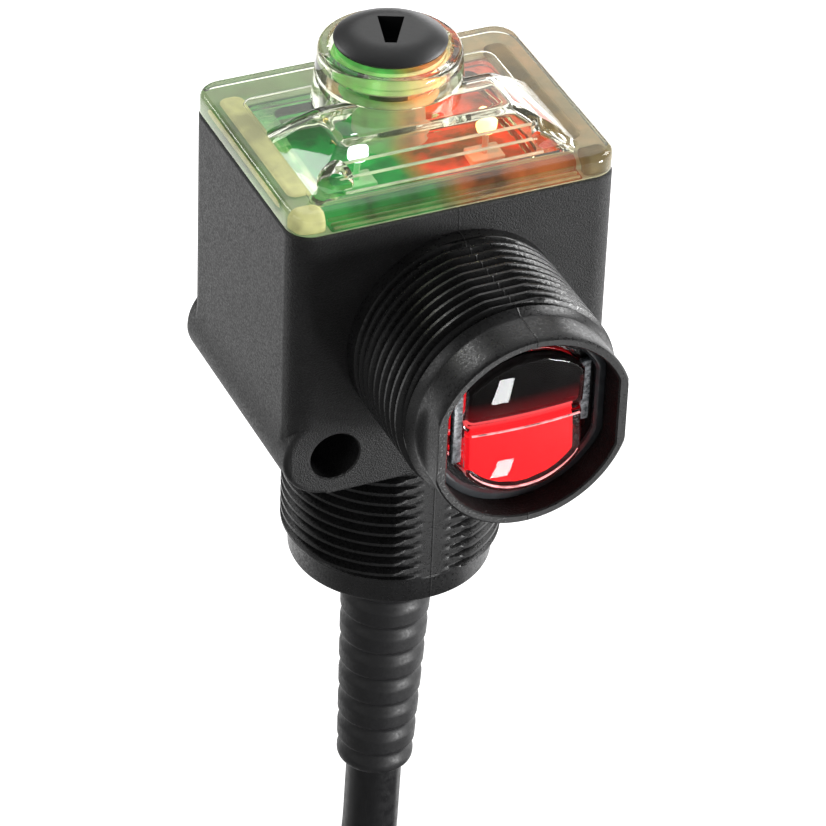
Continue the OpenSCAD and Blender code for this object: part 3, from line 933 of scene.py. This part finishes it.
def make_emitter_glow():
    """A plate behind the lower lobe with painted red glow that stands for the emitter's lit chamber, paler at
    its top.
    """
    lit = material("emitter_glow", (0.3, 0.01, 0.01), 0.5, IOR=1.05, Emission_Strength=0.85)
    vary(lit, "Roughness", blend_range(lit, noise(lit, 0.6, 2), 0.4, 0.6))
    rise = height_ramp(lit, NOSE_Z + WEB_LOW - 0.5, NOSE_Z + FILTER_LOW)
    paler = blend_range(lit, rise, 0, 1, 0.3, 0.9)
    vary(lit, "Emission Color", color_mix(lit, paler, (1.0, 0.010, 0.018), (0.85, 0.10, 0.11)))
    glow = lens_block("emitter_chamber", 0.6 - LENS_END, FILTER_LOW - 0.02, core_back, core_front, lit,
                      0.6, 16)
    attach(glow, "sensor")


def make_lens_ridge():
    """Painted glow and glints: glowing tubes along the ridge above the lower lobe and along its low edge,
    where the red light leaves the lens.
    """
    painted_pink_glow = material("ridge_glow", (0.6, 0.3, 0.3), 0.3, IOR=1.4, Emission_Color=(1.0, 0.30, 0.32, 1))
    vary(painted_pink_glow, "Emission Strength", blend_range(painted_pink_glow, noise(painted_pink_glow, 0.9, 3), 0.05, 1.1, 0.4, 0.6))
    steps = 24
    parts = [k / steps for k in range(steps + 1)]
    half, reach = LENS_W - 0.3, LENS_R - 0.35
    across = [half * (2 * t - 1) for t in parts]
    path = [along_nose(x, WEB_LOW, LENS_FLOOR + 0.12 + lens_front(x, WEB_LOW)) for x in across]
    ridge = tube("lens_ridge", path, [0.09] * len(path), painted_pink_glow, 10)
    angles = [math.radians(218 + 104 * t) for t in parts]
    path = [
        along_nose(max(min(reach * math.cos(a), half), -half), reach * math.sin(a), LENS_FLOOR + 0.9)
        for a in angles
    ]
    glint = tube("edge_glint", path, [0.03 + 0.08 * math.sin(math.pi * t) for t in parts], painted_pink_glow, 10)
    join(ridge, [glint])
    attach(ridge, "sensor")


# ---- the indicator cover, and what is under it ----

def bay(name, drop, bottom):
    """The raised bay, a block with sloping sides; its hollow is the same shape, dropped by the wall."""
    def ring(height, t, corner, out=0.0):
        half_x, low_y, high_y = (a + (b - a) * t for a, b in zip(BAY_FOOT, BAY_CREST))
        outline = rounded_outline(half_x + out, (high_y - low_y) / 2 + out, corner, 6,
                                  (0, (high_y + low_y) / 2))
        return [(x, y, height) for x, y in outline]

    edge = 0.35
    rings = []
    for height in (bottom, RIM_TOP - drop, BAY_TOP - drop - edge):
        t = max((height + drop - RIM_TOP) / (BAY_TOP - RIM_TOP), 0)
        rings.append(ring(height, t, 0.9 - 0.3 * t))
    for k in range(1, 5):
        a = math.pi / 2 * k / 4
        out = 0.3 * (1 - math.sin(a)) - 0.5 * (1 - math.cos(a))
        rings.append(ring(BAY_TOP - drop - edge * (1 - math.sin(a)), 1, 0.6, out))
    return mesh_object(name, *loft(rings))


def frame_plate(name, outer, inner, bottom, top, made):
    """A flat frame between two insets from the housing's outline."""
    plate = slab(name, BODY_W / 2 - outer, BODY_D / 2 - outer, max(CORNER_R - outer, 0.3),
                 bottom, top, 0, 0, made)
    opening = slab("opening", BODY_W / 2 - inner, BODY_D / 2 - inner, max(CORNER_R - inner, 0.3),
                   bottom - 1, top + 1, 0, 0)
    return combine(plate, [opening], "DIFFERENCE")


def cover_foot():
    """The frosted underside of the cover, its light bars, its front strip and its ribs, which shine with the
    indicators' light painted on as a glow.
    """
    olive = lit_by_indicators("frosted_foot", (0.24, 0.25, 0.18), (0.03, 0.12, 0.03), (0.20, 0.07, 0.02), 0.8)
    pale = lit_by_indicators("light_bar", (0.42, 0.41, 0.23), (0.21, 0.21, 0.08), (0.08, 0.03, 0.005), 0.8)
    brown = lit_by_indicators("brown_bar", (0.11, 0.09, 0.05), (0.05, 0.06, 0.015), (0.13, 0.07, 0.02), 0.7)
    ribs = lit_by_indicators("front_rib", (0.14, 0.13, 0.08), (0.03, 0.17, 0.03), (0.26, 0.10, 0.02), 0.7)
    pieces = [frame_plate("foot", 0.25, 2.8, BODY_H + 0.05, BODY_H + 0.15, olive)]
    for side, finish in ((-1, pale), (1, brown)):
        pieces.append(slab("side_bar", 1.0, 7.4, 0.8, BODY_H + 0.35, BODY_H + 0.8, 0.1, 0.4, finish,
                           (side * 11.2, 1.0)))
        pieces.append(slab("corner_bar", 1.1, 0.9, 0.6, BODY_H + 0.06, BODY_H + 1.3, 0.1, 0.5, finish,
                           (side * 11.8, -8.9)))
    deep = lit_by_indicators("front_glow", (0.03, 0.03, 0.02), (0.01, 0.17, 0.03), (0.28, 0.06, 0.01), 0.9)
    pieces.append(slab("front_glow", 10.4, 1.2, 0.2, BODY_H + 0.06, BODY_H + 0.22, 0.02, 0.02,
                       deep, (0, -9.0)))
    # Ribs under the bay's front slope, with painted indicator glow
    line = lit_by_indicators("slope_rib", (0.3, 0.3, 0.26), (0.20, 0.34, 0.18), (0.46, 0.22, 0.14), 0.8)
    slope = (BAY_TOP - RIM_TOP) / (BAY_CREST[1] - BAY_FOOT[1])
    for y in (-7.5, -6.5, -5.5):
        z = RIM_TOP - 1.25 + (y - BAY_FOOT[1]) * slope
        pieces.append(slab("slope_rib", 8.2, 0.07, 0.05, z - 0.12, z + 0.1, 0.02, 0.02, line, (0, y)))
    for y in (-9.9, -9.0, -8.1):
        pieces.append(slab("front_rib", 10.2, 0.14, 0.1, BODY_H + 0.06, BODY_H + 0.45, 0.05, 0.1,
                           ribs, (0, y)))
    return pieces


def well_ring():
    """The lit inside of the dial's well, in fine steps round the stem."""
    lit = lit_by_indicators("well_ring", (0.30, 0.30, 0.18), (0.06, 0.40, 0.06), (0.75, 0.22, 0.05), 0.8)
    low, high = DIAL_FLOOR + 0.05, DIAL_RIM - 0.65
    inner, outer = DIAL_R - 0.82, DIAL_R + 0.24
    rows = []
    for k in range(4):
        z = low + (high - low) * k / 4
        rows += [(z, outer - 0.13 * k), (z + (high - low) / 4 - 0.05, outer - 0.13 * k)]
    rings = polar_rings(rows + [(high, inner), (low, inner), (low, outer)], 96, upright(0, DIAL_Y))
    return mesh_object("well_ring", *loft(rings, False, False), lit, 30)


def make_cover():
    made = clear_plastic("clear_cover", (0.96, 0.975, 0.86), 0.03, 1.44, 0.985)
    cover = slab("cover_shell", BODY_W / 2 - 0.05, BODY_D / 2 - 0.05, CORNER_R, BODY_H + 0.02, RIM_TOP,
                 0.2, 0.55, made, steps=14)
    boss_rows = [(RIM_TOP - 0.5, BOSS_R + 0.45), (RIM_TOP + 0.3, BOSS_R + 0.36)]
    boss_rows += [(h, BOSS_R - d) for h, d in rounding(BOSS_TOP, 0.45, 5)]
    boss = lathe("boss", boss_rows, upright(0, DIAL_Y))
    combine(cover, [bay("bay", 0, RIM_TOP - 0.5), boss], "UNION")
    hollow = slab("hollow", BODY_W / 2 - WALL - 1, BODY_D / 2 - WALL - 1, 1.2, BODY_H - 1,
                  RIM_TOP - 1, 0, 0.3)
    dial_well = lathe("dial_well", [(DIAL_FLOOR, DIAL_R + 0.3), (BOSS_TOP - 0.2, DIAL_R + 0.3),
                                    (BOSS_TOP + 1, DIAL_R + 1.3)], upright(0, DIAL_Y))
    under_boss = lathe("under_boss", [(BODY_H - 1, BOSS_R - 1.3), (DIAL_FLOOR - 1.6, BOSS_R - 1.3),
                                      (DIAL_FLOOR - 1.4, BOSS_R - 1.5)], upright(0, DIAL_Y))
    bearing = lathe("bearing", [(BODY_H, 1.65), (BOSS_TOP, 1.65)], upright(0, DIAL_Y))
    pocket_rows = [(RIM_TOP + 0.2, 1.3), (RIM_TOP + 0.35, 1.4), (BAY_TOP + 1, 1.5)]
    pockets = [lathe("pocket", pocket_rows, upright(side * 8.9, -7.2)) for side in (-1, 1)]
    combine(cover, [bay("bay_hollow", 1.2, RIM_TOP - 1.5), hollow, under_boss, dial_well, bearing] + pockets,
            "DIFFERENCE", 30)
    join(cover, cover_foot() + [well_ring()])
    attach(cover, "sensor")
    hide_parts("indicator_cover")


def make_light_guide():
    made = clear_plastic("clear_guide", (0.9, 0.95, 0.6), 0.05, 1.49)
    guide = slab("guide_frame", BODY_W / 2 - WALL - 1.3, BODY_D / 2 - WALL - 1.3, 1, TRAY_TOP + 0.02,
                 TRAY_TOP + 1.6, 0.1, 0.3, made)
    opening = slab("opening", BODY_W / 2 - WALL - 3.1, BODY_D / 2 - WALL - 2.5, 1, TRAY_TOP - 1,
                   TRAY_TOP + 3, 0, 0)
    combine(guide, [opening], "DIFFERENCE")
    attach(guide, "sensor")
    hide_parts("light_guide")


def lit_by_indicators(name, color, left, right, strength):
    """Painted indicator light: a finish that glows with the left indicator's light on one side and the
    right's on the other, in patches.
    """
    made = material(name, color, 0.5, IOR=1.15)
    side = blend_range(made, coordinate(made, "X"), 0, 1, -1.5 * MM, 1.0 * MM)
    vary(made, "Emission Color", color_mix(made, side, left, right))
    patchy_glow = blend_range(made, noise(made, 3.2, 3, 0.6), 0.3 * strength, 1.7 * strength)
    vary(made, "Emission Strength", patchy_glow)
    return made


def make_dial():
    black = plain_plastic("dial_plastic", (0.010, 0.0105, 0.011), 0.38, 0.3)
    shader_of(black).inputs["IOR"].default_value = 1.65
    stem_low = DIAL_FLOOR - 2.6
    rows = [(stem_low, 1.6), (DIAL_FLOOR + 0.2, 1.6), (DIAL_FLOOR + 0.2, DIAL_R - 0.9),
            (DIAL_RIM - 0.6, DIAL_R - 0.9), (DIAL_RIM - 0.2, DIAL_R - 0.05), (DIAL_RIM - 0.05, DIAL_R)]
    flat_r = 2.2
    for k in range(13):
        out = 1 - k / 12
        height = DIAL_TOP - (DIAL_TOP - DIAL_RIM) * out ** 1.8
        rows.append((height, flat_r + (DIAL_R - 0.05 - flat_r) * out))
    rows += [(DIAL_TOP, 1.2), (DIAL_TOP, 0.1)]
    dial = lathe("dial", rows, upright(0, DIAL_Y), black, 160, 40)
    slot_shape = [(-1.05, 1.95), (-0.45, -1.95), (0.45, -1.95), (1.05, 1.95)]
    turn = math.radians(SLOT_ANGLE)
    rings = [
        [(x * math.cos(turn) - y * math.sin(turn), DIAL_Y + x * math.sin(turn) + y * math.cos(turn), z)
         for x, y in slot_shape]
        for z in (DIAL_TOP - 2, DIAL_TOP + 1)
    ]
    combine(dial, [mesh_object("slot", *loft(rings))], "DIFFERENCE", 40)
    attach(dial, "adjuster")
    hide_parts("adjuster_dial")


def led(name, x, glow, core):
    """A small package with a light pipe, and the lit bulb on top of it."""
    case = lit_by_indicators(name + "_case", (0.3, 0.3, 0.28), glow, glow, 0.8)
    body = slab(name + "_package", 1.4, 1.0, 0.2, TRAY_TOP, TRAY_TOP + 0.5, 0.05, 0.1, case, (x, LED_Y))
    post_rows, post_r = (0.4, 2.6), 0.25
    place = upright(x, LED_Y, TRAY_TOP)
    post = lathe(name + "_post", [(h, post_r) for h in post_rows], place, case, 24)
    bulb_rows = [(2.35, 0.4), (2.45, 0.7), (2.9, 0.85), (3.4, 0.85), (3.75, 0.65), (3.9, 0.3)]
    bulb = lathe(name + "_bulb", bulb_rows, place, glowing(name + "_lit", core, 2.2), 48)
    join(body, [post, bulb])
    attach(body, "sensor")
    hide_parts(name)
    return body


def make_indicators():
    green, red = (0.02, 0.40, 0.08), (0.95, 0.12, 0.02)
    led("power_led", -LED_X, green, (0.70, 0.92, 1.0))
    led("output_led", LED_X, red, (1.0, 0.70, 0.22))


# ---- pieces that keep their CAD shape ----

def finish_cad_nodes():
    """Materials for the inner pieces, which keep the CAD's shapes."""
    board = plain_plastic("board_inner", (0.05, 0.2, 0.1), 0.35)
    chip = plain_plastic("chip_plastic", (0.03, 0.03, 0.03), 0.45)
    tin = metal("can_metal", (0.6, 0.61, 0.62), 0.3)
    finishes = {
        "indicator_board": lit_by_indicators(
            "board", (0.02, 0.08, 0.04), (0.004, 0.22, 0.035), (0.72, 0.02, 0.006), 1.0),
        "cover_gasket": rubber_black("gasket_rubber"),
        "adjuster_seal": lit_by_indicators(
            "clear_silicone", (0.30, 0.30, 0.20), (0.04, 0.30, 0.05), (0.70, 0.20, 0.05), 0.8),
        "potentiometer_body": lit_by_indicators(
            "pale_plastic", (0.35, 0.34, 0.28), (0.03, 0.25, 0.05), (0.6, 0.10, 0.03), 0.7),
        "potentiometer_rotor": plain_plastic("rotor_plastic", (0.6, 0.58, 0.5), 0.4),
        "board_resistors": chip,
        "board_header": metal("contact_metal", (0.75, 0.6, 0.3), 0.25),
        "main_board": board,
        "controller_chip": chip,
        "output_transistors": chip,
        "board_capacitors": plain_plastic("ceramic", (0.6, 0.5, 0.36), 0.5),
        "optics_holder": moulded_black("holder_plastic", 0.5, seam=False),
        "emitter_aperture": moulded_black("aperture_plastic", 0.5, seam=False),
        "emitter_led": glowing("red_led", (1.0, 0.1, 0.08), 4),
        "receiver_photodiode": chip,
        "optics_board": board,
        "shield_can": tin,
        "flex_lead": plain_plastic("amber_film", (0.6, 0.3, 0.08), 0.3),
        "inner_wires": plain_plastic("wire_pvc", (0.3, 0.2, 0.12), 0.4),
        "potting_plug": moulded_black("resin", 0.35, seam=False),
        "cable_collar": tin,
    }
    for name, made in finishes.items():
        nodes[name].data.materials.clear()
        nodes[name].data.materials.append(made)


# ---- the studio ----

def area_light(name, place, target, size, energy):
    """A white rectangular lamp at a place, aimed at a target, both in metres."""
    data = bpy.data.lights.new(name, "AREA")
    data.shape = "RECTANGLE"
    data.size, data.size_y = size
    data.energy = energy
    obj = bpy.data.objects.new(name, data)
    obj.location = place
    aim = Vector(target) - Vector(place)
    obj.rotation_euler = aim.to_track_quat("-Z", "Y").to_euler()
    bpy.context.scene.collection.objects.link(obj)


def studio():
    world = bpy.data.worlds.new("studio")
    world.use_nodes = True
    background = world.node_tree.nodes["Background"]
    background.inputs["Color"].default_value = (1, 1, 1, 1)
    background.inputs["Strength"].default_value = 0.15
    bpy.context.scene.world = world
    bpy.context.scene.view_settings.view_transform = "Standard"

    # Pale paper with painted light that glows most behind the sensor and far from it
    paper = material("floor_paper", (0.2, 0.2, 0.2), 0.8, Emission_Color=(1, 1, 1, 1))
    across = math_node(paper, "MULTIPLY", coordinate(paper, "X"), 0.6)
    along = math_node(paper, "MULTIPLY", coordinate(paper, "Y"), 0.8)
    behind = blend_range(paper, math_node(paper, "ADD", across, along), 0.0, 1.4, -0.04, 0.10)
    distance = add_node(paper, "ShaderNodeVectorMath", Vector=position(paper))
    distance.operation = "LENGTH"
    far = blend_range(paper, distance.outputs["Value"], 0.0, 0.6, 0.2, 0.5)
    vary(paper, "Emission Strength", math_node(paper, "MAXIMUM", behind, far))
    vary(paper, "Roughness", blend_range(paper, noise(paper, 4, 2), 0.75, 0.85))
    floor = lathe("floor", [(0.0, 3000.0), (-20.0, 3000.0)], upright(0, 0, GROUND_Z), paper, 64)

    # Broad lamps round the sensor; lens_card is small, for the bright spots on the lens
    area_light("overhead", (0.1, 0.35, 0.7), (0.03, 0.1, 0), (0.5, 0.4), 0.3)
    area_light("backdrop", (0.3, 0.65, 0.5), (0, 0, 0.02), (0.5, 0.4), 0.8)
    area_light("upper_right", (0.56, 0.0, 0.38), (0, 0, 0.01), (0.3, 0.3), 3.2)
    area_light("rear_right", (0.51, 0.57, 0.06), (0, 0, 0.01), (0.3, 0.2), 0.6)
    area_light("rear_left", (-0.33, 0.59, 0.46), (0, 0, 0.02), (0.12, 0.3), 1.0)
    area_light("front_right", (0.24, -0.30, -0.03), (0, 0, 0.01), (0.1, 0.1), 1.3)
    area_light("lens_card", (0.0466, -0.162, -0.0877), (0, -0.024, 0.013), (0.0121, 0.023), 0.03)
    area_light("left", (-0.6, -0.1, 0.3), (0, 0, 0.01), (0.4, 0.4), 0.9)


make_cable()
make_housing()
make_strain_relief()
make_lens()
make_lens_gasket()
make_side_strips()
make_receiver_filter()
make_emitter_glow()
make_lens_ridge()
make_cover()
make_light_guide()
make_dial()
make_indicators()
finish_cad_nodes()
studio()
